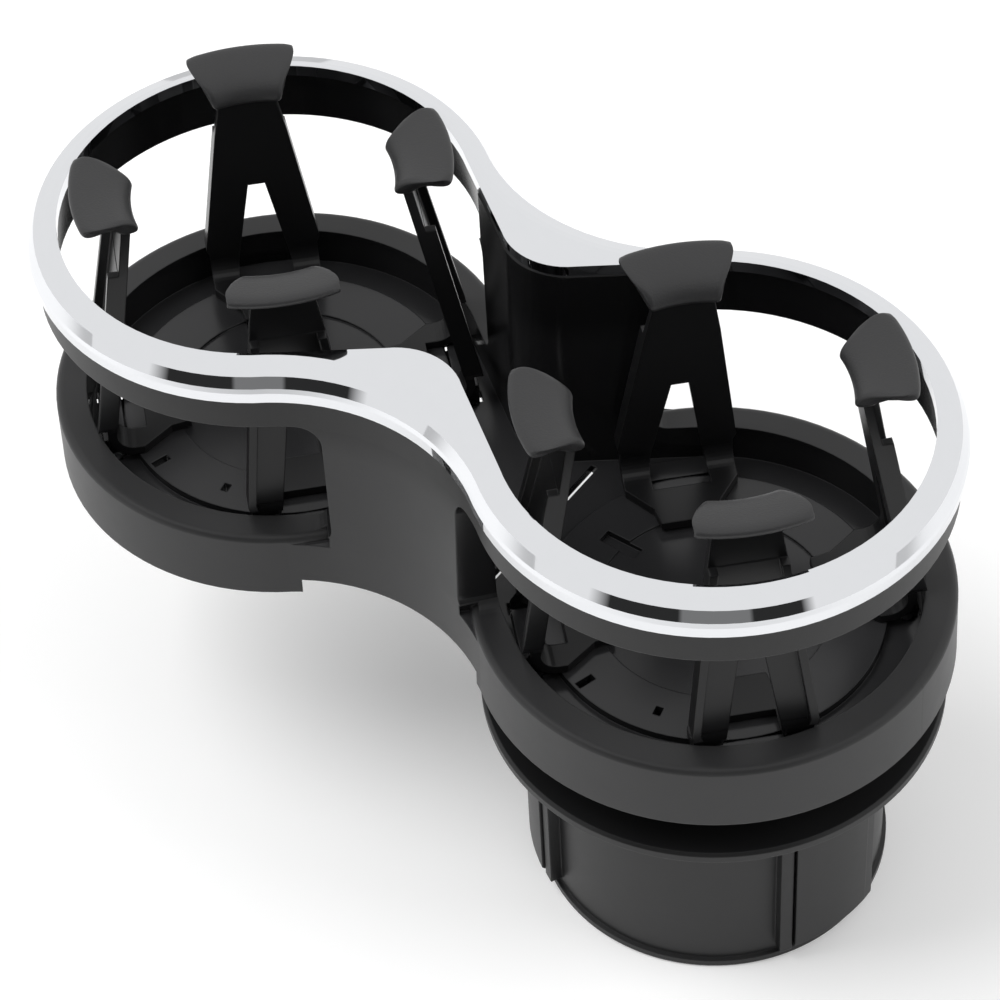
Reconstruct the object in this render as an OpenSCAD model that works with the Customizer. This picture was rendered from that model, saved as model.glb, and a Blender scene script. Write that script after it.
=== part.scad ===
// Twin cup holder that stands in a vehicle's cup well on an expanding plug.
// Origin: centre of the plug's bottom. +Z is up, and -X points to the second cup.

/* [Plan] */
// Distance between the axes of the two cups
cup_pitch = 102; // [98:0.5:112]
// Radius of the holder at the crease of its trim ring
cup_r = 46; // [45:0.25:50]
// Width of the trim ring, from its crease to the opening over each cup
ring_w = 6.1; // [5.5:0.1:7]
// Width of the opening where the two cups join
throat_w = 30.2; // [26:0.2:34]
// Rounding of the opening's edge where the two cups join
throat_r = 13; // [9:0.5:16]
// Width of the holder at its waist
waist_w = 58.6; // [54:0.2:64]

/* [Heights] */
// Height of the plug, up to the rim that the hand wheel turns on
plug_h = 47.3; // [42:0.1:56]
// Free height between the hand wheel and the holder's skirt
neck_h = 11; // [10.5:0.1:16]
// Height of the skirt round each cup's floor
skirt_h = 14.9; // [14.6:0.1:20]
// Height of the windows between the skirt and the upper band
window_h = 30.4; // [24:0.1:40]
// Height of the upper band that shows under the trim ring
band_h = 7.4; // [5:0.1:12]
// Height of the trim ring
ring_h = 6.9; // [6:0.1:9]

/* [Holder walls] */
// Wall of the holder
wall_t = 2; // [1.6:0.1:2.4]
// Width that the skirt gains over the crease at its foot
skirt_flare = 0.3; // [0:0.1:0.6]
// Inset of the upper band from the crease
band_inset = 1; // [0.6:0.1:1.4]
// Thickness of the upper band
band_t = 3.5; // [3:0.1:4]
// Depth of the floor below the top of the skirt
floor_drop = 8.4; // [8:0.1:8.8]
// Half of the angle that the waist wall takes of each cup
waist_a = 41; // [36:0.5:46]
// Corner rounding at the top of the windows
window_top_r = 4.5; // [2:0.25:6]
// Corner rounding at the foot of the windows
window_foot_r = 3; // [1:0.25:5]
// Rounding along the top edge of the skirt
skirt_edge_r = 1.6; // [0.5:0.1:2]
// Height that the waist wall stops above the foot of the skirt
waist_lift = 3.4; // [1:0.1:5]

/* [Floors] */
// Width of the channel between the raised floor disc and the edge of the opening
channel_w = 6.9; // [6.4:0.1:9]
// Height of the floor disc above the channel round it
disc_step = 1.6; // [1:0.1:2]
// Width of the drain slots
slot_w = 1.5; // [1:0.1:2.5]

/* [Arms] */
// Distance of an arm's knee inside the edge of the opening
knee_inset = 4.3; // [4:0.1:5]
// Way that an arm leans in between its knee and its neck
arm_lean = 8.4; // [7:0.1:9.5]
// Thickness of an arm's plate
arm_t = 1.8; // [1.5:0.1:2]
// Half width of an arm at its knee
arm_knee_w = 11.9; // [11:0.1:12]
// Half width of an arm at its neck
arm_neck_w = 5.7; // [5:0.1:6.5]
// Height of the pads' rim above the trim ring
pad_rise = 9.5; // [8:0.1:12]
// Radius of the hinge pins
pin_r = 1.1; // [0.9:0.05:1.2]
// Radius of the wire of the arm springs
wire_r = 0.3; // [0.2:0.05:0.35]

/* [Plug] */
// Radius of the lip at the plug's foot
lip_r = 35; // [34.6:0.1:36]
// Height of the lip
lip_h = 1.9; // [1.5:0.1:3]
// Radius of the plug's wall between the shoes
core_r = 34.2; // [33.8:0.1:34.4]
// Radius over the shoes, as the plug is set
shoe_r = 37.2; // [37:0.1:38]
// Angle that each shoe takes
shoe_a = 28; // [20:1:32]
// Radius of the hand wheel
wheel_r = 45; // [43:0.25:46]
// Thickness of the hand wheel
wheel_t = 2.7; // [2.4:0.1:3]
// Radius of the spindle that the holder swivels on
spindle_r = 5; // [4.5:0.1:5.5]
// Radial travel of the shoes for each radian that the hand wheel turns
scroll_rate = 2.3; // [1.5:0.1:2.8]

/* [Fits] */
// Radial clearance of a running fit
run_gap = 0.06; // [0.03:0.01:0.09]
// Gap between parts that pass each other
free_gap = 0.3; // [0.25:0.05:0.35]

/* [Hidden] */
$fn = 96;

// Heights that follow from the stack of parts. The rim of the hand wheel reaches down past the
// face that turns on the plug, and rests on the rim of the well.
seat_step = 0.4;
wheel_z = plug_h + free_gap;
wheel_top = wheel_z - seat_step + wheel_t;
skirt_z = wheel_top + neck_h;
ledge_z = skirt_z + skirt_h;
window_top = ledge_z + window_h;
seat_z = window_top + band_h;
top_z = seat_z + ring_h;
floor_z = ledge_z - floor_drop;
disc_z = floor_z + disc_step;
deck_z = top_z - 2.5;
rim_z = top_z + pad_rise;

// Outline of the holder: an arc round each cup and a hollow arc at each side of the waist
half_pitch = cup_pitch / 2;
waist_r = (pow(half_pitch, 2) + pow(waist_w / 2, 2) - pow(cup_r, 2)) / (2 * cup_r - waist_w);
waist_y = waist_w / 2 + waist_r;
flank_a = atan2(waist_y, half_pitch);
// Depth by which arcs that run into each other overlap, so that they cross cleanly
blend = 0.04;

// Opening of the holder: a circle over each cup and a tangent throat between them
open_r = cup_r - ring_w;
throat_y = throat_w / 2 + throat_r;
throat_slope = asin((open_r + throat_r) / norm([half_pitch, throat_y])) - atan2(throat_y, half_pitch);
inner_gap = 0.25;
inner_r = open_r - inner_gap;
disc_r = open_r - channel_w;
dish_r = disc_r - 10.5;
dish_step = 0.5;

// Places of the arms round each cup
arm_angles = [45, 135, 225, 315];
arm_knee_x = open_r - knee_inset;
pad_x = arm_knee_x - arm_lean;
pad_h = 6.4;
plate_lean = atan(arm_lean / (rim_z - pad_h - 6.6 - arm_knee_z()));
foot_z = disc_z + free_gap;
tip_z = rim_z - 5.4;
knee_r = 3.5;
knee_trim = 0.75;
arm_edge = 2;
edge_z0 = ledge_z + 1;
edge_z1 = rim_z - 16;
pin_x = arm_knee_x;
foot_x = pin_x - 15.6;
pin_z = floor_z - 0.4;
lug_r = 2;
lug_y = 7.8;
lug_t = 2.4;
ear_w = 6.2;
seat_x = pin_x - 10.4;
seat_t = 1.6;

// Covers under the springs of the second cup
cover_t = 1.2;
cover_x0 = 13;
cover_x1 = pin_x + 1.4;
cover_y0 = -11;
cover_y1 = 4.2;
cover_screw_at = 17;

// Tails of the arms and the springs that push them, in the room between cover and floor
tail_z = skirt_z + cover_t + free_gap;
tail_swing = 0.8;
spring_room = floor_z - wall_t - skirt_z - cover_t;
spring_z = skirt_z + cover_t + spring_room / 2;
spring_r = min(1.2, spring_room / 2 - 0.15 - wire_r);

// Plug and its parts
core_t = 2;
shoe_t = 2.6;
shoe_turn = -17;
shoe_foot = 4.6;
rib_a = 4;
post_r = spindle_r + run_gap + 3;
post_web_z = 20;
stem_w = 5;
stem_h = 7;
stem_top = plug_h - 3.7;
scroll_pin_r = 1.6;
scroll_r = 24.5;
scroll_turn = 60;
scroll_end = 6;
peg_r = 2;
peg_at = 14;
peg_turn = shoe_turn + 20;
hub_r = 36;
hub_t = 2.4;
hub_web_z = wheel_top + 5.6;
hub_web_t = 2.6;
boss_r = 3.6;
boss_at = 20;
screw_r = 1.4;

dark = [0.17, 0.17, 0.18];
black = [0.09, 0.09, 0.10];
pad_grey = [0.25, 0.25, 0.26];
chrome = [0.86, 0.87, 0.88];
steel = [0.62, 0.63, 0.65];

function arm_knee_z() = disc_z + free_gap + arm_t;
function arm_x(z) = arm_knee_x - (z - arm_knee_z()) * tan(plate_lean);
function arm_out(z, t) = [arm_x(z) + t / cos(plate_lean), z];
function polar(r, a) = [r * cos(a), r * sin(a)];
function arc(r, a0, a1, n) = [for (i = [0:n]) polar(r, a0 + (a1 - a0) * i / n)];
function shift(points, by) = [for (p = points) p + by];

// Solid inside the holder's outline. Each point of the profile holds the distance out from
// the crease and the height, from the foot up.
module bounded(profile) {
    z0 = profile[0].y;
    z1 = profile[len(profile) - 1].y;
    touch = (cup_r + 1) * [-cos(flank_a), sin(flank_a)];
    for (x = [0, -cup_pitch]) translate([x, 0, 0]) rotate_extrude()
        polygon(concat([[0, z0]], [for (p = profile) [cup_r + p.x, p.y]], [[0, z1]]));
    difference() {
        translate([0, 0, z0]) linear_extrude(z1 - z0)
            polygon([[0, 0], touch, [-cup_pitch - touch.x, touch.y], [-cup_pitch, 0],
                [-cup_pitch - touch.x, -touch.y], [touch.x, -touch.y]]);
        for (side = [-1, 1]) translate([-half_pitch, side * waist_y, 0]) rotate_extrude()
            polygon(concat([[0, z0 - 1], [waist_r + blend - profile[0].x, z0 - 1]],
                [for (p = profile) [waist_r + blend - p.x, p.y]],
                [[waist_r + blend - profile[len(profile) - 1].x, z1 + 1], [0, z1 + 1]]));
    }
}

// Places something once on each cup's axis, with the second cup's copy turned about
module each_cup() {
    children();
    translate([-cup_pitch, 0, 0]) rotate([0, 0, 180]) children();
}

module on_arms() {
    for (a = arm_angles) rotate([0, 0, a]) children();
}

// Plan of the opening over both cups, grown outwards
module opening(grow) {
    up = [-sin(throat_slope), cos(throat_slope)];
    cup_touch = (open_r + grow - blend) * up;
    throat_touch = [-half_pitch, throat_y] - (throat_r - grow - blend) * up;
    for (x = [0, -cup_pitch]) translate([x, 0]) circle(r = open_r + grow);
    difference() {
        polygon([cup_touch, throat_touch,
            [-cup_pitch - throat_touch.x, throat_touch.y], [-cup_pitch - cup_touch.x, cup_touch.y],
            [-cup_pitch - cup_touch.x, -cup_touch.y], [-cup_pitch - throat_touch.x, -throat_touch.y],
            [throat_touch.x, -throat_touch.y], [cup_touch.x, -cup_touch.y]]);
        for (side = [-1, 1])
            translate([-half_pitch, side * throat_y]) circle(r = throat_r - grow);
    }
}

// Plan of the waist between two rays from each cup's axis
module waist_plan(half_angle) {
    reach = half_pitch * tan(half_angle);
    polygon([[0, 0], [-half_pitch, reach], [-cup_pitch, 0], [-half_pitch, -reach]]);
}

// Ring sector round a cup's axis, which leaves the waist wall free
module sector(r0, r1, z0, z1, half_angle) {
    rotate([0, 0, -half_angle])
        rotate_extrude(angle = 2 * half_angle)
            translate([r0, z0]) square([r1 - r0, z1 - z0]);
}

// Cutter for the window of one cup, with its corners rounded
module window() {
    edge = 180 - waist_a;
    end_a = 8;
    end_w = cup_r * sin(end_a);
    r0 = cup_r - 14;
    r1 = cup_r + 6;
    corners = concat([[-2, ledge_z]],
        shift(arc(window_foot_r, -90, 0, 5), [end_w - window_foot_r, ledge_z + window_foot_r]),
        shift(arc(window_top_r, 0, 90, 6), [end_w - window_top_r, window_top - window_top_r]),
        [[-2, window_top]]);
    sector(r0, r1, ledge_z, window_top, edge - end_a);
    for (side = [0, 1]) mirror([0, side, 0]) rotate([0, 0, edge - end_a])
        through_x(r0, r1) polygon(corners);
}

// Room inside the skirt, the ledge and the waist, open from below
module shell_hollow() {
    skirt_in = skirt_flare - wall_t;
    band_in = -band_inset - wall_t;
    bounded([[skirt_in, skirt_z - 1], [skirt_in, floor_z - wall_t]]);
    difference() {
        bounded([[skirt_in, floor_z - wall_t - 1], [skirt_in, ledge_z - wall_t]]);
        translate([0, 0, skirt_z]) linear_extrude(skirt_h) opening(wall_t - inner_gap);
    }
    difference() {
        intersection() {
            bounded([[skirt_in, ledge_z - wall_t - 1], [band_in, window_top],
                [band_in - wall_t / 2, deck_z - wall_t]]);
            translate([0, 0, skirt_z])
                linear_extrude(deck_z - skirt_z) waist_plan(waist_a - wall_t / cup_r * 180 / PI);
        }
        translate([0, 0, skirt_z]) linear_extrude(deck_z) opening(wall_t - inner_gap);
    }
}

// Ear that holds the pin of one arm, and the seat of that arm's spring
module arm_seat() {
    ear_h = pin_z + lug_r - (floor_z - wall_t - 0.8);
    translate([pin_x - lug_r - free_gap, -ear_w, floor_z - wall_t - 0.8])
        cube([2 * (lug_r + free_gap), 2 * ear_w, ear_h]);
    translate([seat_x - seat_t, -lug_y - lug_t, tail_z])
        cube([seat_t, 2 * lug_t, floor_z - wall_t / 2 - tail_z]);
    translate([seat_x - 0.1, -lug_y, spring_z]) rotate([0, 90, 0])
        cylinder(r = spring_r - wire_r - 0.25, h = 2.1);
}

module arm_slots() {
    for (side = [-1, 1])
        translate([pin_x - lug_r - 2 * free_gap, side * lug_y - lug_t / 2 - free_gap, floor_z - 3 * wall_t])
            cube([2 * lug_r + 4 * free_gap, lug_t + 2 * free_gap, 3 * wall_t + disc_step + 1]);
    translate([pin_x, -lug_y - lug_t, pin_z]) rotate([-90, 0, 0])
        cylinder(r = pin_r + run_gap, h = 2 * (lug_y + lug_t));
}

module cup_floor() {
    translate([0, 0, floor_z - wall_t]) cylinder(r = inner_r + wall_t / 2, h = wall_t);
    translate([0, 0, disc_z - wall_t]) cylinder(r = disc_r, h = wall_t);
}

module drain_slots() {
    slit_x = inner_r;
    for (side = [-1, 1])
        translate([-slit_x - slot_w / 2, side * 11 - 7, floor_z - 2 * wall_t])
            cube([slot_w, 14, 4 * wall_t]);
    for (x = [0, -cup_pitch]) translate([x, 0, floor_z - 2 * wall_t]) {
        rotate([0, 0, -108]) translate([disc_r - 4.4, -slot_w / 2, 0]) cube([3.7, slot_w, 4 * wall_t]);
        rotate([0, 0, -78]) translate([disc_r - 6, -slot_w / 2, 0]) cube([2, slot_w, 4 * wall_t]);
    }
}

// Shallow dish in the middle of each floor disc, and the small pocket in the first one
module floor_dishes() {
    for (x = [0, -cup_pitch]) translate([x, 0, disc_z - dish_step]) cylinder(r = dish_r, h = 2);
    translate([-27.1, 1.5, disc_z - 1.4]) cube([8.1, 2.9, 3]);
}

module holder_body() color(dark) difference() {
    union() {
        difference() {
            bounded([[skirt_flare, skirt_z], [-band_inset, window_top], [-band_inset, seat_z],
                [-band_inset - wall_t / 2, seat_z], [-band_inset - wall_t / 2, deck_z]]);
            shell_hollow();
            translate([0, 0, floor_z]) linear_extrude(top_z) opening(-inner_gap);
            each_cup() window();
            each_cup() sector(cup_r - 14, cup_r - band_inset - band_t, window_top - 1, deck_z + 1,
                180 - waist_a);
            each_cup() rotate([0, 0, waist_a - 180]) rotate_extrude(angle = 360 - 2 * waist_a)
                polygon(concat(shift(arc(skirt_edge_r, 0, 90, 5),
                    [cup_r - skirt_edge_r, ledge_z - skirt_edge_r]),
                    [[cup_r - skirt_edge_r, ledge_z + 1], [cup_r + 2, ledge_z + 1],
                    [cup_r + 2, ledge_z - skirt_edge_r]]));
            translate([0, 0, skirt_z - 1])
                linear_extrude(waist_lift + 1) waist_plan(waist_a + 8.5);
        }
        translate([0, 0, floor_z - wall_t]) linear_extrude(wall_t) intersection() {
            opening(wall_t / 2 - inner_gap);
            translate([-cup_pitch, -cup_r]) square([cup_pitch, 2 * cup_r]);
        }
        each_cup() cup_floor();
        each_cup() on_arms() arm_seat();
        for (a = [0, 90, 180, 270]) rotate([0, 0, a]) translate([boss_at, 0, skirt_z + 0.1])
            cylinder(r = boss_r, h = disc_z - skirt_z - 1);
        translate([-cup_pitch, 0, 0]) on_arms() translate([cover_screw_at, 0, skirt_z + cover_t])
            cylinder(r = boss_r, h = disc_z - skirt_z - 2);
    }
    each_cup() on_arms() arm_slots();
    drain_slots();
    floor_dishes();
    for (a = [0, 90, 180, 270]) rotate([0, 0, a]) translate([boss_at, 0, skirt_z - 1])
        cylinder(r = screw_r + 0.1, h = 6.5);
    translate([-cup_pitch, 0, 0]) on_arms() translate([cover_screw_at, 0, skirt_z - 1])
        cylinder(r = screw_r + 0.1, h = 6.5);
}

module trim_ring() color(chrome) difference() {
    bounded([[-0.1, seat_z], [0, seat_z + 2.4], [-0.35, seat_z + 3.3], [-1.5, top_z - 1.5],
        [-4.2, top_z - 0.4], [-5.6, top_z]]);
    recess = 0.1 - band_inset - wall_t / 2;
    bounded([[recess, seat_z - 1], [recess, deck_z]]);
    translate([0, 0, seat_z - 1]) linear_extrude(ring_h + 2) opening(0);
}

// Plate of an arm seen from the side: foot, knee and leaning blade, with deeper edges between
// the skirt and the neck, and a tongue on top that holds the pad
module arm_side(edge) {
    tongue = [[1, -4.4], [3.3, -3], [6.2, -2.1], [5.8, -1.2], [1.3, -2.2], [-0.8, -3.8]];
    knee = [arm_x(arm_knee_z() + knee_r) - knee_r / cos(plate_lean), arm_knee_z() + knee_r];
    polygon(concat([[foot_x, foot_z]],
        shift(arc(knee_r + arm_t, -90, plate_lean, 8), knee),
        [arm_out(edge_z0, arm_t), arm_out(edge_z0, arm_t + edge),
        arm_out(edge_z1, arm_t + edge), arm_out(edge_z1, arm_t),
        arm_out(tip_z, arm_t)], shift(tongue, [pad_x, rim_z]), [arm_out(tip_z + 0.4, 0)],
        shift(arc(knee_r, plate_lean, -90, 8), knee), [[foot_x, foot_z + arm_t]]));
}

module arm_front(inset) {
    neck_z = rim_z - 16;
    w = arm_knee_w - inset;
    low_w = w - knee_trim;
    polygon([[-low_w, foot_z - 1], [-low_w, ledge_z + 0.2], [0.15 - w, ledge_z + 2],
        [inset - arm_neck_w - 1.5, neck_z], [inset - arm_neck_w, rim_z - pad_h], [inset - arm_neck_w, rim_z],
        [arm_neck_w - inset, rim_z], [arm_neck_w - inset, rim_z - pad_h], [arm_neck_w + 1.5 - inset, neck_z],
        [w - 0.15, ledge_z + 2], [low_w, ledge_z + 0.2], [low_w, foot_z - 1]]);
}

module through_x(x0, x1) {
    translate([x0, 0, 0]) rotate([90, 0, 90]) linear_extrude(x1 - x0) children();
}

module sideways(half_width) {
    translate([0, half_width, 0]) rotate([90, 0, 0]) linear_extrude(2 * half_width) children();
}

module arm_plate(edge) {
    intersection() {
        sideways(arm_knee_w + 1) arm_side(edge);
        through_x(0, cup_r) arm_front(0);
    }
}

module arm() color(black) {
    sill_z = ledge_z + 22;
    difference() {
        union() {
            difference() {
                arm_plate(arm_edge);
                intersection() {
                    sideways(arm_knee_w) polygon([arm_out(edge_z0 - 3, arm_t + 0.1), arm_out(edge_z0 - 3, 9),
                        arm_out(edge_z1 + 3, 9), arm_out(edge_z1 + 3, arm_t + 0.1)]);
                    through_x(0, cup_r) arm_front(1.6);
                }
                through_x(pin_x - 6.6, cup_r)
                    polygon([[-1.7, sill_z], [1.7, sill_z], [6.2, foot_z - 2], [-6.2, foot_z - 2]]);
                translate([pin_x, 0, foot_z - 1]) linear_extrude(6)
                    polygon([[-4.1, 0], [0.4, 6], [9.4, 6], [9.4, -6], [0.4, -6]]);
                translate([foot_x, 0, foot_z - 1]) linear_extrude(4) for (side = [-1, 1])
                    polygon([[-2, side * 5.5], [4, side * 6.5], [11, side * (arm_knee_w + 0.1)],
                        [11, side * 14], [-2, side * 14]]);
            }
            for (side = [-1, 1]) translate([0, side * lug_y, 0]) sideways(lug_t / 2) {
                polygon([[pin_x - lug_r, foot_z + 0.6], [pin_x - 0.2, foot_z + 2.6],
                    [pin_x + lug_r, pin_z + 1.4], [pin_x + lug_r, pin_z],
                    [pin_x + lug_r - 1.2, tail_z], [pin_x - lug_r, tail_z]]);
            }
        }
        translate([pin_x, -20, pin_z]) rotate([-90, 0, 0]) cylinder(r = pin_r + run_gap, h = 40);
    }
}

// Soft cap that is pushed over the tip of an arm. Its section turns about the cup's axis, and is
// cut to the pad's outline as seen along a slope of 45 degrees.
module pad() color(pad_grey) {
    section = [[-2.1, -pad_h], [-2.3, -5], [-1.7, -3.5], [0, -2], [2.6, -0.9], [5.8, -0.2], [8.6, 0],
        [9.8, -0.3], [10.3, -1.2], [9.8, -2.1], [6.4, -2.9], [3.8, -3.8], [2.1, -5], [1.6, -pad_h]];
    half = [[-1.5, 6.6], [2, 6.6], [4.5, 7.4], [7, 8.8], [9, 10.2], [10.6, 10.9], [11.6, 10.8], [12.4, 10.1],
        [12.9, 9], [14, 9]];
    foot = (pad_x - 2.1 + rim_z - pad_h) / sqrt(2);
    difference() {
        intersection() {
            rotate([0, 0, -24]) rotate_extrude(angle = 48) polygon(shift(section, [pad_x, rim_z]));
            translate([-80, 0, 80]) rotate([0, 135, 0]) linear_extrude(180)
                polygon(concat([for (p = half) [-foot - p.x, p.y]],
                    [for (i = [len(half) - 1:-1:0]) [-foot - half[i].x, -half[i].y]]));
        }
        arm_plate(0);
    }
}

// Compression spring that pushes the tail of an arm outwards. It ends short of the tail by
// the way that the tail moves in.
module arm_spring() color(steel) {
    turns = 5;
    steps = 10;
    sides = 6;
    n = turns * steps;
    x0 = seat_x + wire_r + 0.02;
    x1 = pin_x - lug_r - tail_swing - wire_r;
    points = [for (i = [0:n]) for (k = [0:sides - 1])
        let (a = i * 360 / steps, b = k * 360 / sides, r = spring_r + wire_r * cos(b))
        [x0 + (x1 - x0) * i / n + wire_r * sin(b), r * cos(a) - lug_y, spring_z + r * sin(a)]];
    faces = concat([[for (k = [0:sides - 1]) k]],
        [for (i = [0:n - 1]) for (k = [0:sides - 1])
            [i * sides + k, (i + 1) * sides + k, (i + 1) * sides + (k + 1) % sides,
            i * sides + (k + 1) % sides]],
        [[for (k = [sides - 1:-1:0]) n * sides + k]]);
    polyhedron(points, faces);
}

module hinge_pins() color(steel) {
    length = 2 * lug_y + lug_t - 0.4;
    each_cup() on_arms() translate([pin_x, -length / 2, pin_z]) rotate([-90, 0, 0])
        cylinder(r = pin_r, h = length);
}

// Covers under the springs of the second cup, one for each arm
module side_cover() color(black) translate([-cup_pitch, 0, skirt_z]) on_arms() difference() {
    translate([cover_x0, cover_y0, 0]) cube([cover_x1 - cover_x0, cover_y1 - cover_y0, cover_t]);
    translate([cover_screw_at, 0, -1]) cylinder(r = screw_r + 0.3, h = cover_t + 2);
}

module screw(head_r, head_h, length) {
    rotate_extrude() polygon([[0, 0], [head_r - 0.6, 0], [head_r, 0.7], [head_r, head_h],
        [screw_r, head_h], [screw_r, length - 1], [0.5, length], [0, length]]);
}

module side_cover_screws() color(steel)
    translate([-cup_pitch, 0, skirt_z - 1.8]) on_arms()
        translate([cover_screw_at, 0, 0]) screw(2.8, 1.8, 7);

// Drum and spindle that join the holder to the plug and let it swivel
module swivel_hub() color(black) difference() {
    union() {
        rotate_extrude() polygon([[0, post_web_z + wall_t], [spindle_r, post_web_z + wall_t],
            [spindle_r, hub_web_z], [hub_r - hub_t, hub_web_z], [hub_r - hub_t, wheel_top + free_gap],
            [hub_r, wheel_top + free_gap], [hub_r, skirt_z - 0.6], [hub_r - hub_t, skirt_z - 0.6],
            [hub_r - hub_t, hub_web_z + hub_web_t], [0, hub_web_z + hub_web_t]]);
        for (a = [0, 90, 180, 270]) rotate([0, 0, a]) translate([boss_at, 0, hub_web_z])
            cylinder(r = boss_r, h = skirt_z + 0.1 - hub_web_z);
    }
    for (a = [0, 90, 180, 270]) rotate([0, 0, a]) translate([boss_at, 0, wheel_top])
        cylinder(r = screw_r + 0.3, h = 20);
    translate([0, 0, post_web_z]) cylinder(r = screw_r + 0.6, h = 16);
}

module hub_screws() color(steel) for (a = [0, 90, 180, 270]) rotate([0, 0, a])
    translate([boss_at, 0, hub_web_z - 2]) screw(2.8, 2, 12.3);

module plug_core() color(dark) difference() {
    union() {
        rotate_extrude() polygon([[post_r, 0], [lip_r - 0.4, 0], [lip_r, 0.4], [lip_r, lip_h],
            [core_r, lip_h + 0.3], [core_r, plug_h], [core_r - core_t, plug_h],
            [core_r - core_t, lip_h + 0.6], [post_r, lip_h + 0.6]]);
        rotate_extrude() polygon([[spindle_r + run_gap, post_web_z + wall_t],
            [screw_r + 0.8, post_web_z + wall_t], [screw_r + 0.8, post_web_z],
            [spindle_r + run_gap, post_web_z], [spindle_r + run_gap, 0],
            [post_r + 1.5, 0], [post_r + 1.5, stem_top + free_gap - 0.1], [post_r, stem_top + free_gap - 0.1],
            [post_r, wheel_top - 0.2], [spindle_r + run_gap, wheel_top - 0.2]]);
        for (i = [0:2]) rotate([0, 0, shoe_turn + 120 * i]) for (side = [-1, 1])
            rotate([0, 0, side * (shoe_a / 2 + 0.8 + rib_a / 2) - rib_a / 2])
                rotate_extrude(angle = rib_a) translate([core_r - 1, lip_h + 2])
                    square([shoe_r - core_r + 0.5, plug_h - lip_h - 2]);
    }
    for (i = [0:2]) rotate([0, 0, shoe_turn + 120 * i])
        translate([core_r - 6, -stem_w - free_gap, stem_top - stem_h - free_gap])
            cube([12, 2 * (stem_w + free_gap), plug_h]);
}

module shoe(i) color(dark) rotate([0, 0, shoe_turn + 120 * i]) {
    rotate([0, 0, -shoe_a / 2]) rotate_extrude(angle = shoe_a)
        polygon([[shoe_r - shoe_t, shoe_foot + 0.6], [shoe_r - 0.6, shoe_foot], [shoe_r, shoe_foot + 0.6],
            [shoe_r, plug_h - 0.5], [shoe_r - shoe_t, plug_h - 0.5]]);
    translate([scroll_r - 3, -stem_w, stem_top - stem_h])
        cube([shoe_r - shoe_t - scroll_r + 4, 2 * stem_w, stem_h]);
    translate([scroll_r, 0, stem_top - 1]) cylinder(r = scroll_pin_r, h = 3.2);
}

// Spiral slot that carries the pin of one shoe
module scroll_slot() {
    w = scroll_pin_r + 0.2;
    n = 24;
    step = (scroll_turn + 2 * scroll_end) / n;
    function reach(a) = scroll_r - scroll_rate * a * PI / 180;
    polygon(concat([for (i = [0:n]) let (a = scroll_end - i * step) polar(reach(a) + w, a)],
        [for (i = [n:-1:0]) let (a = scroll_end - i * step) polar(reach(a) - w, a)]));
}

// Plate under the hand wheel whose spiral slots drive the shoes
module scroll_plate() color(black) translate([0, 0, stem_top + free_gap])
    linear_extrude(plug_h - stem_top - 2 * free_gap) difference() {
        circle(r = core_r - core_t - 0.5);
        circle(r = post_r + run_gap);
        for (i = [0:2]) rotate(shoe_turn + 120 * i) scroll_slot();
        for (i = [0:2]) rotate(peg_turn + 120 * i) translate([peg_at, 0]) circle(r = peg_r + 0.1);
    }

module hand_wheel() color(dark) {
    rim_in = shoe_r + scroll_rate * scroll_turn * PI / 180 + 0.6;
    rotate_extrude() polygon([[post_r + run_gap, wheel_z], [rim_in, wheel_z], [rim_in, wheel_z - seat_step],
        [wheel_r - 0.5, wheel_z - seat_step], [wheel_r, wheel_z - seat_step + 0.5],
        [wheel_r, wheel_top - 0.6], [wheel_r - 0.6, wheel_top], [post_r + run_gap, wheel_top]]);
    for (i = [0:2]) rotate([0, 0, peg_turn + 120 * i]) translate([peg_at, 0, stem_top + 1])
        cylinder(r = peg_r, h = wheel_z + 0.5 - stem_top - 1);
}

module spindle_washer() color(steel) translate([0, 0, post_web_z - 1.1]) difference() {
    cylinder(r = spindle_r - 0.2, h = 1);
    translate([0, 0, -1]) cylinder(r = 2.2, h = 3);
}

module spindle_screw() color(steel) translate([0, 0, post_web_z - 1.2 - 2.6])
    rotate_extrude() polygon([[0, 0], [3.2, 0], [3.8, 0.8], [3.8, 2.6], [screw_r + 0.5, 2.6],
        [screw_r + 0.5, 17], [1, 18], [0, 18]]);

module at_arm(cup, i) {
    translate([-cup * cup_pitch, 0, 0]) rotate([0, 0, arm_angles[i - 1]]) children();
}

holder_body();
trim_ring();
for (i = [1:4]) {
    at_arm(0, i) arm();
    at_arm(1, i) arm();
    at_arm(0, i) pad();
    at_arm(1, i) pad();
    at_arm(0, i) arm_spring();
    at_arm(1, i) arm_spring();
}
hinge_pins();
side_cover();
side_cover_screws();
swivel_hub();
hub_screws();
plug_core();
hand_wheel();
scroll_plate();
for (i = [1:3]) shoe(i - 1);
spindle_washer();
spindle_screw();
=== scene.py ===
"""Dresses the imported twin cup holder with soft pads, moulded plastic, chrome and steel, on a pale floor."""

import math

import bmesh
import bpy
from mathutils import Matrix, Vector


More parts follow.
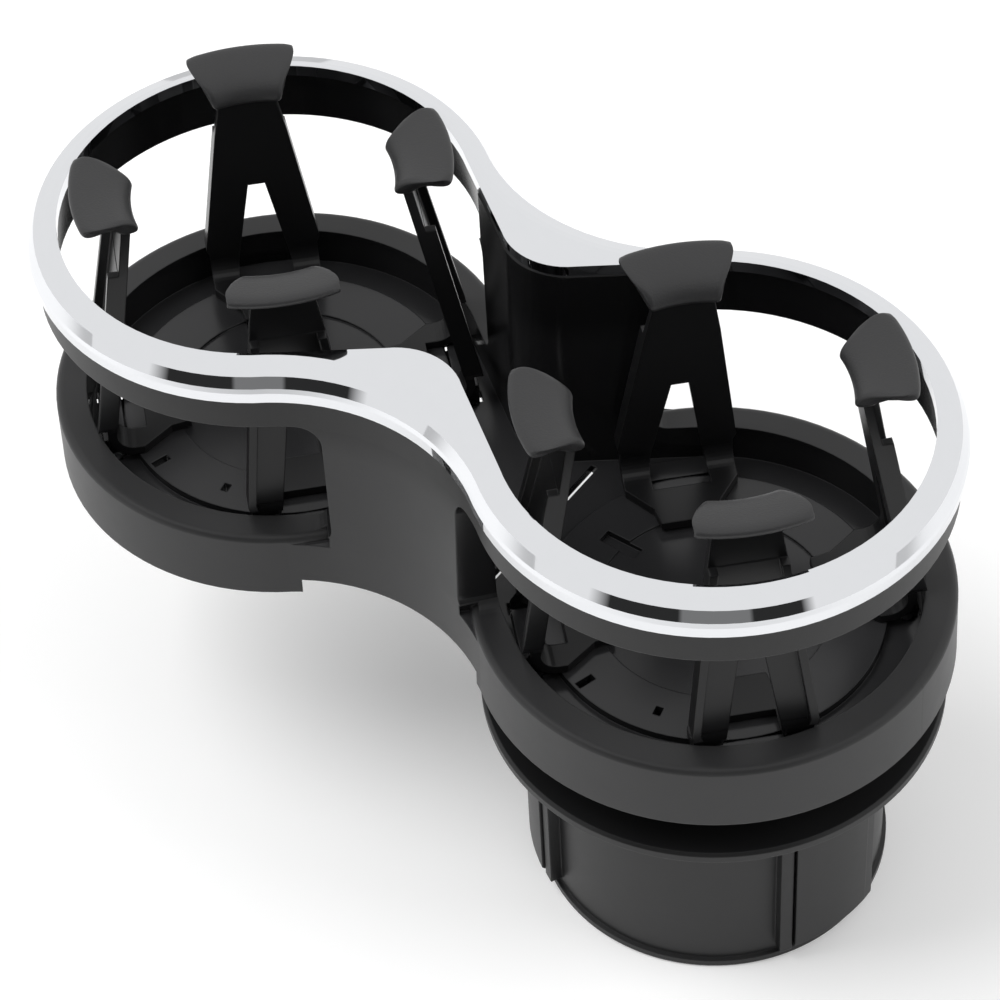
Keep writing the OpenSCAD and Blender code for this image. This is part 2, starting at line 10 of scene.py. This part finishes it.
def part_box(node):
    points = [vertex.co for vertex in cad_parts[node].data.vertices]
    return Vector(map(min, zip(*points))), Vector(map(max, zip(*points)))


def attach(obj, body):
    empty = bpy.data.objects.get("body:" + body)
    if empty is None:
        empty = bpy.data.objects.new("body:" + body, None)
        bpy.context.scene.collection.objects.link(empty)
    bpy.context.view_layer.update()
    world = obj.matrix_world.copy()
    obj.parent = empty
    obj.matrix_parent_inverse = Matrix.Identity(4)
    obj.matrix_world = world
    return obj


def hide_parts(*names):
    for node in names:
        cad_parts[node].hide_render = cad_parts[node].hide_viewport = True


bl_info = {
    "name": "Twin Cup Holder",
    "version": (1, 0, 0),
    "blender": (4, 5, 0),
    "location": "View3D > Sidebar > Cup Holder",
    "description": "Pads, finishes and studio stage of a twin cup holder",
    "category": "Object",
}

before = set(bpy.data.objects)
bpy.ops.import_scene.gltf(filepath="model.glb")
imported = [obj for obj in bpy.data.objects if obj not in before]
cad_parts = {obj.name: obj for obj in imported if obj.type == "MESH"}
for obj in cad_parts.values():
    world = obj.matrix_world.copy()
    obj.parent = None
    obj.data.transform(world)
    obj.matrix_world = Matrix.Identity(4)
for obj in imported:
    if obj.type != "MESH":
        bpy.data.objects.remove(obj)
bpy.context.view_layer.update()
MM = 0.001
CUP_PITCH = 0.102
PAD_RIM_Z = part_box("pad_main_1")[1][2]
LEDGE_Z = 0.0758
FLOOR_Z = 0.0674
BAND_Z = 0.106
OUTER_WALL_R = 0.0425
CAMERA_AZIMUTH, CAMERA_ELEVATION, CAMERA_ROLL = 38.15, 47.70, -3.61
ARM_TURNS = {"1": 45, "2": 135, "3": 225, "4": 315}

# Section of a pad, as distance from the cup's axis and height below its rim, in millimetres
PAD_FACE = [(25.2, -6.4), (25.0, -5.0), (25.6, -3.5), (27.6, -1.9), (30.0, -1.1), (33.0, -0.5), (35.1, -0.2),
            (36.2, -0.4), (36.7, -1.2), (36.2, -2.1), (33.6, -2.9), (31.0, -3.8), (29.3, -5.0), (28.8, -6.4)]
# Half width of a pad against the way along it from its foot, in millimetres
PAD_OUTLINE = [(-1.5, 6.7), (1.5, 6.7), (4.0, 7.2), (6.5, 8.3), (8.5, 9.9), (10.0, 11.3), (10.9, 11.5),
               (11.6, 11.0), (12.0, 10.2)]


class HolderColours(bpy.types.PropertyGroup):
    """Colours and gloss of the moulded and plated parts."""

    shell: bpy.props.FloatVectorProperty(name="Shell", description="Plastic of the skirt, waist and band",
        subtype="COLOR", size=3, min=0, max=1, default=(0.019, 0.019, 0.0196))
    # Inside is darker than the shell: painted shade on the cups' inner walls; the band and the cup floors are
    # tinted from it too
    inside: bpy.props.FloatVectorProperty(name="Inside", description="Plastic of the floors and inner walls",
        subtype="COLOR", size=3, min=0, max=1, default=(0.010, 0.010, 0.0105))
    arm: bpy.props.FloatVectorProperty(name="Arms", description="Plastic of the sprung arms",
        subtype="COLOR", size=3, min=0, max=1, default=(0.008, 0.008, 0.0085))
    plug: bpy.props.FloatVectorProperty(name="Plug", description="Plastic of the plug, shoes and hand wheel",
        subtype="COLOR", size=3, min=0, max=1, default=(0.010, 0.010, 0.0104))
    chrome: bpy.props.FloatVectorProperty(name="Chrome", description="Plating of the trim ring",
        subtype="COLOR", size=3, min=0, max=1, default=(0.74, 0.75, 0.77))
    shell_roughness: bpy.props.FloatProperty(
        name="Shell roughness", description="Roughness of the satin outside",
        subtype="FACTOR", min=0.1, max=0.9, default=0.42)
    inside_roughness: bpy.props.FloatProperty(
        name="Inside roughness", description="Roughness of the glossy inside",
        subtype="FACTOR", min=0.05, max=0.9, default=0.2)
    edge_radius: bpy.props.FloatProperty(
        name="Edge softness", description="Radius that softens the moulded edges",
        subtype="DISTANCE", unit="LENGTH", min=0.0, max=0.002, default=0.0004)


class PadSizes(bpy.types.PropertyGroup):
    """Shape and finish of the soft pads."""

    colour: bpy.props.FloatVectorProperty(name="Pad", description="Soft rubber of the pads",
        subtype="COLOR", size=3, min=0, max=1, default=(0.017, 0.017, 0.0178))
    roughness: bpy.props.FloatProperty(name="Pad roughness", description="Roughness of the soft rubber",
        subtype="FACTOR", min=0.2, max=1, default=0.42)
    grain: bpy.props.FloatProperty(name="Grain size", description="Size of the rubber's moulded grain",
        subtype="DISTANCE", unit="LENGTH", min=0.0001, max=0.002, default=0.00035)
    steps: bpy.props.IntProperty(name="Steps", description="Sections across one pad",
        min=6, max=30, default=14)
    smooth_levels: bpy.props.IntProperty(name="Smoothing", description="Subdivision of a pad",
        min=1, max=3, default=2)


class StudioSettings(bpy.types.PropertyGroup):
    """Floor, light and camera."""

    floor: bpy.props.FloatVectorProperty(name="Floor", description="Colour of the studio floor",
        subtype="COLOR", size=3, min=0, max=1, default=(0.93, 0.93, 0.93))
    floor_size: bpy.props.FloatProperty(name="Floor size", description="Width of the studio floor",
        subtype="DISTANCE", unit="LENGTH", min=1, max=10, default=6)
    sky: bpy.props.FloatProperty(name="Surround light", description="Strength of the light from all round",
        min=0, max=2, default=0.55)
    card: bpy.props.FloatProperty(
        name="Dark card", description="How dark the card is that the chrome reflects in front",
        subtype="FACTOR", min=0, max=1, default=0.97)
    lens: bpy.props.FloatProperty(name="Lens", description="Focal length of the camera, in millimetres",
        min=50, max=300, default=131.2)


class Wire:
    """An output of a shader node, on which arithmetic adds Math nodes."""

    def __init__(self, finish, socket):
        self.finish = finish
        self.socket = socket

    def math(self, operation, *operands, clamp=False):
        return self.finish.node("ShaderNodeMath", {"operation": operation, "use_clamp": clamp},
                                dict(enumerate(operands)))

    def __add__(self, other):
        return self.math("ADD", self, other)

    def __radd__(self, other):
        return self.math("ADD", other, self)

    def __sub__(self, other):
        return self.math("SUBTRACT", self, other)

    def __rsub__(self, other):
        return self.math("SUBTRACT", other, self)

    def __mul__(self, other):
        return self.math("MULTIPLY", self, other)

    def __rmul__(self, other):
        return self.math("MULTIPLY", other, self)

    def __truediv__(self, other):
        return self.math("DIVIDE", self, other)

    def __gt__(self, other):
        return self.math("GREATER_THAN", self, other)

    def __lt__(self, other):
        return self.math("LESS_THAN", self, other)

    def clamped(self):
        return self.math("ADD", self, 0.0, clamp=True)

    def ramp(self, start, end):
        """0 up to the start and 1 from the end on, or the other way round where the end is the lower."""
        return ((self - start) / (end - start)).clamped()

    def root(self):
        return self.math("SQRT", self)

    def size(self):
        return self.math("ABSOLUTE", self)


class Graph:
    """Node tree of a material or a world, and the nodes that make its pattern."""

    def __init__(self, tree, place):
        self.tree = tree
        self.place = self.node("ShaderNodeTexCoord", output=place)

    def feed(self, socket, value):
        if isinstance(value, Wire):
            self.tree.links.new(value.socket, socket)
        elif socket.type == "RGBA" and len(value) == 3:
            socket.default_value = (*value, 1)
        else:
            socket.default_value = value

    def node(self, kind, settings=None, values=None, output=0):
        made = self.tree.nodes.new(kind)
        for name, setting in (settings or {}).items():
            setattr(made, name, setting)
        for name, value in (values or {}).items():
            self.feed(made.inputs[name], value)
        return Wire(self, made.outputs[output])

    def noise(self, scale, detail=2.0, rough=0.5):
        return self.node("ShaderNodeTexNoise", values={"Vector": self.place, "Scale": scale, "Detail": detail,
                                                        "Roughness": rough})

    def blend(self, factor, first, second):
        return self.node("ShaderNodeMix", {"data_type": "RGBA"}, {0: factor, 6: first, 7: second}, output=2)

    def axes(self, vector):
        return [self.node("ShaderNodeSeparateXYZ", values={0: vector}, output=axis) for axis in "XYZ"]

    def ray_is(self, *kinds):
        """1 where the ray is of one of the kinds, such as Camera or Glossy."""
        found = [self.node("ShaderNodeLightPath", output=f"Is {kind} Ray") for kind in kinds]
        return sum(found[1:], found[0]).clamped()


class Finish(Graph):
    """A new material."""

    def __init__(self, name):
        self.material = bpy.data.materials.new(name)
        self.material.use_nodes = True
        super().__init__(self.material.node_tree, "Object")
        self.shader = self.tree.nodes["Principled BSDF"]

    def relief(self, height, distance, normal=None, strength=1.0):
        values = {"Height": height, "Distance": distance, "Strength": strength}
        if normal is not None:
            values["Normal"] = normal
        return self.node("ShaderNodeBump", values=values)

    def soft_edges(self, radius):
        return self.node("ShaderNodeBevel", {"samples": 6}, {"Radius": radius})

    def paint(self, **inputs):
        for name, value in inputs.items():
            self.feed(self.shader.inputs[name.replace("_", " ")], value)
        return self.material


def tinted(colour, factor):
    """The colour made lighter or darker."""
    return tuple(min(1.0, channel * factor) for channel in colour)


def dress(material, *names):
    """Gives the material to every material slot of the named CAD nodes."""
    for name in names:
        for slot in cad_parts[name].material_slots:
            slot.material = material


def nodes_named(prefix):
    return sorted(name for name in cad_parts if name.startswith(prefix))


def moulded(name, colour, roughness, edge_radius, grain=0.0004, depth=0.00001, unevenness=0.06):
    """Moulded plastic: faint cloudiness, uneven gloss, a fine grain and softened edges."""
    finish = Finish(name)
    cloud = finish.noise(60, 3)
    handling = finish.noise(220, 4, 0.6)
    base = finish.blend(cloud, tinted(colour, 0.85), tinted(colour, 1.15))
    grain_height = finish.noise(1 / grain, 2)
    normal = finish.relief(grain_height, depth, finish.soft_edges(edge_radius))
    return finish.paint(Base_Color=base, Roughness=roughness + (handling - 0.5) * unevenness, Normal=normal,
                        Specular_IOR_Level=0.3)


def shell_finish(colours):
    """Satin outside, glossy inside and a parting line, told apart by place and facing, with painted light on
    the upward tops and the cup floors and painted shade darkening the inner walls and the band at the top.
    """
    finish = Finish("shell_plastic")
    x, y, z = finish.axes(finish.place)
    facing = finish.axes(finish.node("ShaderNodeNewGeometry", output="Normal"))
    over_side = x < -CUP_PITCH / 2
    from_axis = x + over_side * CUP_PITCH
    spread = (from_axis * from_axis + y * y).root()
    outward = (facing[0] * from_axis + facing[1] * y) / spread
    below_ledge = LEDGE_Z - 0.0012
    # Painted light: upward faces above the ledge count with the outside and take its lighter shell colour
    lit_tops = (facing[2] > 0.6) * (z > below_ledge)
    # Mask of the band at the top of the body, which is given painted shade below
    band = z.ramp(BAND_Z - 0.006, BAND_Z)
    outside = ((outward > 0.1) * (spread > OUTER_WALL_R) + lit_tops + (z < FLOOR_Z - 0.0025)).clamped()
    cloud = finish.noise(60, 3)
    handling = finish.noise(220, 4, 0.6)
    # Painted shade: the inward walls take the darker inside colour, while the outside and the lit tops take
    # the lighter shell colour; the satin and glossy roughness split is the plastic's own
    shaded_inner_base = finish.blend(cloud, tinted(colours.inside, 0.85), tinted(colours.inside, 1.2))
    outer_base = finish.blend(cloud, tinted(colours.shell, 0.88), tinted(colours.shell, 1.12))
    base = finish.blend(outside, shaded_inner_base, outer_base)
    # Painted shade: the band is darkened to 0.6 of the inside colour
    base = finish.blend(band, base, tinted(colours.inside, 0.6))
    # Painted light: the upward faces of the cup floors are lightened to 2.3 times the inside colour
    lit_cup_floor = (facing[2] > 0.6) * (z < below_ledge)
    base = finish.blend(lit_cup_floor, base, tinted(colours.inside, 2.3))
    seam = y.size().ramp(0.0003, 0.0001) * (x > 0.03) * outside * (facing[2] < 0.5)
    base = finish.blend(seam * 0.7, base, tinted(colours.shell, 0.1))
    gloss_gap = colours.shell_roughness - colours.inside_roughness
    roughness = colours.inside_roughness + outside * gloss_gap + (handling - 0.5) * 0.06
    grain = finish.noise(2600, 2)
    normal = finish.relief(grain * (outside * 0.8 + 0.2), 0.00001, finish.soft_edges(colours.edge_radius))
    return finish.paint(Base_Color=base, Roughness=roughness, Normal=normal, Specular_IOR_Level=0.34)


def chrome_finish(colours):
    finish = Finish("ring_chrome")
    ripple = finish.noise(45, 1)
    haze = finish.noise(300, 3)
    plating = finish.blend(haze, tinted(colours.chrome, 0.98), colours.chrome)
    return finish.paint(Base_Color=plating, Metallic=1.0, Roughness=0.02 + haze * 0.02,
                        Normal=finish.relief(ripple, 0.00002))


def steel_finish():
    finish = Finish("zinc_steel")
    streak = finish.noise(900, 3)
    zinc = finish.blend(streak, (0.5, 0.51, 0.53), (0.66, 0.67, 0.69))
    return finish.paint(Base_Color=zinc, Metallic=1.0, Roughness=0.28 + streak * 0.12,
                        Normal=finish.relief(streak, 0.00001))


def rubber_finish(pads):
    finish = Finish("pad_rubber")
    grain = finish.noise(1 / pads.grain, 2, 0.6)
    cloud = finish.noise(120, 3)
    base = finish.blend(cloud, tinted(pads.colour, 0.9), tinted(pads.colour, 1.12))
    return finish.paint(Base_Color=base, Roughness=pads.roughness - 0.06 + grain * 0.12,
                        Normal=finish.relief(grain, 0.00006))


def interpolated(table, key):
    """Value of a table of (key, value) rows between its rows."""
    if key <= table[0][0]:
        return table[0][1]
    for (low, first), (high, second) in zip(table, table[1:]):
        if key <= high:
            return first + (second - first) * (key - low) / (high - low)
    return table[-1][1]


def make_pad(name, turn, over_side, sizes):
    """Soft pad over an arm's tip: its section is spun about the cup's axis and drawn in to its outline."""
    shape = bmesh.new()
    points = [shape.verts.new((r * MM, 0, PAD_RIM_Z + z * MM)) for r, z in PAD_FACE]
    section = shape.faces.new(points)
    half = math.radians(24)
    half_turn_back = Matrix.Rotation(-half, 3, "Z")
    bmesh.ops.rotate(shape, verts=points, cent=(0, 0, 0), matrix=half_turn_back)
    bmesh.ops.spin(shape, geom=[section] + list(section.edges) + points, cent=(0, 0, 0), axis=(0, 0, 1),
                   angle=2 * half, steps=sizes.steps, use_duplicate=False)
    foot = (PAD_FACE[0][0] * MM + PAD_RIM_Z + PAD_FACE[0][1] * MM) / math.sqrt(2)
    for point in shape.verts:
        r = math.hypot(point.co.x, point.co.y)
        across = math.atan2(point.co.y, point.co.x) / half
        along = (r + point.co.z) / math.sqrt(2) - foot
        width = interpolated(PAD_OUTLINE, along / MM) * MM
        y = math.copysign(abs(across) ** 0.9, across) * width
        point.co.x, point.co.y = math.sqrt(max(r * r - y * y, 0)), y
    bmesh.ops.remove_doubles(shape, verts=shape.verts, dist=0.00002)
    ends = [edge for edge in shape.edges
            if len(edge.link_faces) == 2 and any(len(face.verts) > 4 for face in edge.link_faces)]
    bmesh.ops.bevel(shape, geom=ends, offset=0.0008, segments=2, profile=0.5, affect="EDGES", material=-1)
    bmesh.ops.recalc_face_normals(shape, faces=shape.faces)
    arm_turn = Matrix.Rotation(math.radians(turn), 3, "Z")
    bmesh.ops.rotate(shape, verts=shape.verts, cent=(0, 0, 0), matrix=arm_turn)
    bmesh.ops.translate(shape, verts=shape.verts, vec=(-CUP_PITCH if over_side else 0, 0, 0))
    mesh = bpy.data.meshes.new(name)
    shape.to_mesh(mesh)
    shape.free()
    mesh.shade_smooth()
    pad = bpy.data.objects.new(name, mesh)
    bpy.context.scene.collection.objects.link(pad)
    smooth = pad.modifiers.new("smooth", "SUBSURF")
    smooth.levels = smooth.render_levels = sizes.smooth_levels
    return pad


class OBJECT_OT_finish_holder(bpy.types.Operator):
    """Give the holder, its ring, drum and cover their plastic and chrome"""

    bl_idname = "object.finish_holder"
    bl_label = "Finish Holder"

    def execute(self, context):
        colours = context.scene.holder_colours
        dress(shell_finish(colours), "holder_body")
        dress(chrome_finish(colours), "trim_ring")
        dress(moulded("drum_plastic", colours.plug, 0.45, colours.edge_radius), "swivel_hub", "side_cover")
        return {"FINISHED"}


class OBJECT_OT_finish_arms(bpy.types.Operator):
    """Give the sprung arms their smooth plastic"""

    bl_idname = "object.finish_arms"
    bl_label = "Finish Arms"

    def execute(self, context):
        colours = context.scene.holder_colours
        material = moulded("arm_plastic", colours.arm, 0.3, colours.edge_radius, 0.0006, 0.000003, 0.03)
        dress(material, *nodes_named("arm_"))
        return {"FINISHED"}


class OBJECT_OT_finish_plug(bpy.types.Operator):
    """Give the plug, its shoes, hand wheel and scroll plate their plastic"""

    bl_idname = "object.finish_plug"
    bl_label = "Finish Plug"

    def execute(self, context):
        colours = context.scene.holder_colours
        material = moulded("plug_plastic", colours.plug, 0.4, colours.edge_radius)
        dress(material, "plug_core", "hand_wheel", "scroll_plate", *nodes_named("shoe_"))
        return {"FINISHED"}


class OBJECT_OT_finish_fasteners(bpy.types.Operator):
    """Give the pins, springs and screws their zinc plated steel"""

    bl_idname = "object.finish_fasteners"
    bl_label = "Finish Fasteners"

    def execute(self, context):
        dress(steel_finish(), "hinge_pins", "side_cover_screws", "hub_screws", "spindle_washer",
              "spindle_screw", *nodes_named("spring_"))
        return {"FINISHED"}


class OBJECT_OT_make_pads(bpy.types.Operator):
    """Make the soft pads on the tips of the arms"""

    bl_idname = "object.make_pads"
    bl_label = "Make Pads"

    def execute(self, context):
        sizes = context.scene.pad_sizes
        material = rubber_finish(sizes)
        for node in nodes_named("pad_"):
            _, cup, number = node.split("_")
            pad = make_pad(f"soft_{node}", ARM_TURNS[number], cup == "side", sizes)
            pad.data.materials.append(material)
            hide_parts(node)
            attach(pad, f"arm_{cup}_{number}")
        return {"FINISHED"}


def soft_light(name, place, aim, size, power):
    """Square softbox that faces the point it is aimed at."""
    lamp = bpy.data.lights.new(name, "AREA")
    lamp.shape = "RECTANGLE"
    lamp.size, lamp.size_y = size
    lamp.energy = power
    light = bpy.data.objects.new(name, lamp)
    light.location = place
    light.rotation_euler = (Vector(aim) - Vector(place)).to_track_quat("-Z", "Y").to_euler()
    light.visible_glossy = False
    bpy.context.scene.collection.objects.link(light)


class SCENE_OT_make_stage(bpy.types.Operator):
    """Make the pale floor, the lights and the camera"""

    bl_idname = "scene.make_stage"
    bl_label = "Make Stage"

    def execute(self, context):
        studio = context.scene.studio_settings
        scene = context.scene
        shape = bmesh.new()
        bmesh.ops.create_grid(shape, x_segments=1, y_segments=1, size=studio.floor_size / 2)
        mesh = bpy.data.meshes.new("studio_floor")
        shape.to_mesh(mesh)
        shape.free()
        floor = bpy.data.objects.new("studio_floor", mesh)
        scene.collection.objects.link(floor)
        finish = Finish("studio_floor")
        speckle = finish.noise(4, 2)
        x, y, _ = finish.axes(finish.place)
        far = (x * x + y * y).root().ramp(0.45, 1.0)
        glow = finish.ray_is("Camera", "Glossy", "Transmission") * 0.12 + finish.ray_is("Camera") * far * 0.88
        pale = finish.blend(speckle, studio.floor, tinted(studio.floor, 1.01))
        finish.paint(Base_Color=pale, Roughness=0.9, Emission_Color=glow, Emission_Strength=1.0)
        mesh.materials.append(finish.material)

        world = bpy.data.worlds.new("studio_surround")
        world.use_nodes = True
        scene.world = world
        surround = Graph(world.node_tree, "Generated")
        # The card and the pale pane in it stand on the camera's side, in directions of the surround
        x, y, z = surround.axes(surround.place)
        azimuth, elevation, roll = map(math.radians, (CAMERA_AZIMUTH, CAMERA_ELEVATION, CAMERA_ROLL))
        toward = x * math.sin(azimuth) - y * math.cos(azimuth)
        right = x * math.cos(azimuth) + y * math.sin(azimuth)
        card = toward.ramp(0.25, 0.4) * right.ramp(-0.8, -0.7) * right.ramp(0.56, 0.48) * z.ramp(0.0, 0.05) \
            * z.ramp(0.88, 0.72)
        pane = right.ramp(-0.31, -0.28) * right.ramp(0.18, 0.15)
        seen = surround.ray_is("Camera", "Glossy", "Transmission")
        bright = 1 - card * surround.ray_is("Glossy") * (studio.card - pane * 0.2)
        background = world.node_tree.nodes["Background"]
        background.inputs["Color"].default_value = (1, 1, 1, 1)
        surround.feed(background.inputs["Strength"], studio.sky + seen * (bright - studio.sky))

        centre = (-0.05, 0, 0.07)
        soft_light("key_light", (-0.7, -0.5, 1.3), centre, (0.9, 0.9), 14)
        soft_light("fill_light", (0.9, 0.4, 1.0), centre, (0.7, 0.7), 6)

        camera = bpy.data.objects.new("camera", bpy.data.cameras.new("camera"))
        camera.data.lens = studio.lens
        camera.data.sensor_width = 36
        camera.data.clip_start = 0.01
        back = Vector((math.sin(azimuth) * math.cos(elevation), -math.cos(azimuth) * math.cos(elevation),
                       math.sin(elevation)))
        level = Vector((math.cos(azimuth), math.sin(azimuth), 0))
        up = back.cross(level)
        rolled_right = level * math.cos(roll) + up * math.sin(roll)
        rolled_up = up * math.cos(roll) - level * math.sin(roll)
        turn = Matrix((rolled_right, rolled_up, back)).transposed().to_4x4()
        camera.matrix_world = Matrix.Translation((0.24616, -0.37657, 0.59445)) @ turn
        scene.collection.objects.link(camera)
        scene.camera = camera
        scene.view_settings.view_transform = "Standard"
        return {"FINISHED"}


class VIEW3D_PT_cup_holder(bpy.types.Panel):
    """Tools of the twin cup holder"""

    bl_label = "Twin Cup Holder"
    bl_idname = "VIEW3D_PT_cup_holder"
    bl_space_type = "VIEW_3D"
    bl_region_type = "UI"
    bl_category = "Cup Holder"

    def draw(self, context):
        layout = self.layout
        for group in (context.scene.holder_colours, context.scene.pad_sizes, context.scene.studio_settings):
            box = layout.box()
            for name in group.__annotations__:
                box.prop(group, name)
        for operator in OPERATORS:
            layout.operator(operator.bl_idname)


OPERATORS = (OBJECT_OT_finish_holder, OBJECT_OT_finish_arms, OBJECT_OT_finish_plug,
             OBJECT_OT_finish_fasteners, OBJECT_OT_make_pads, SCENE_OT_make_stage)
CLASSES = (HolderColours, PadSizes, StudioSettings, *OPERATORS, VIEW3D_PT_cup_holder)


def register():
    for cls in CLASSES:
        bpy.utils.register_class(cls)
    bpy.types.Scene.holder_colours = bpy.props.PointerProperty(type=HolderColours)
    bpy.types.Scene.pad_sizes = bpy.props.PointerProperty(type=PadSizes)
    bpy.types.Scene.studio_settings = bpy.props.PointerProperty(type=StudioSettings)


def unregister():
    del bpy.types.Scene.studio_settings
    del bpy.types.Scene.pad_sizes
    del bpy.types.Scene.holder_colours
    for cls in reversed(CLASSES):
        bpy.utils.unregister_class(cls)


def main():
    register()
    bpy.ops.scene.make_stage()
    bpy.ops.object.finish_holder()
    bpy.ops.object.finish_arms()
    bpy.ops.object.finish_plug()
    bpy.ops.object.finish_fasteners()
    bpy.ops.object.make_pads()


if __name__ == "__main__":
    main()
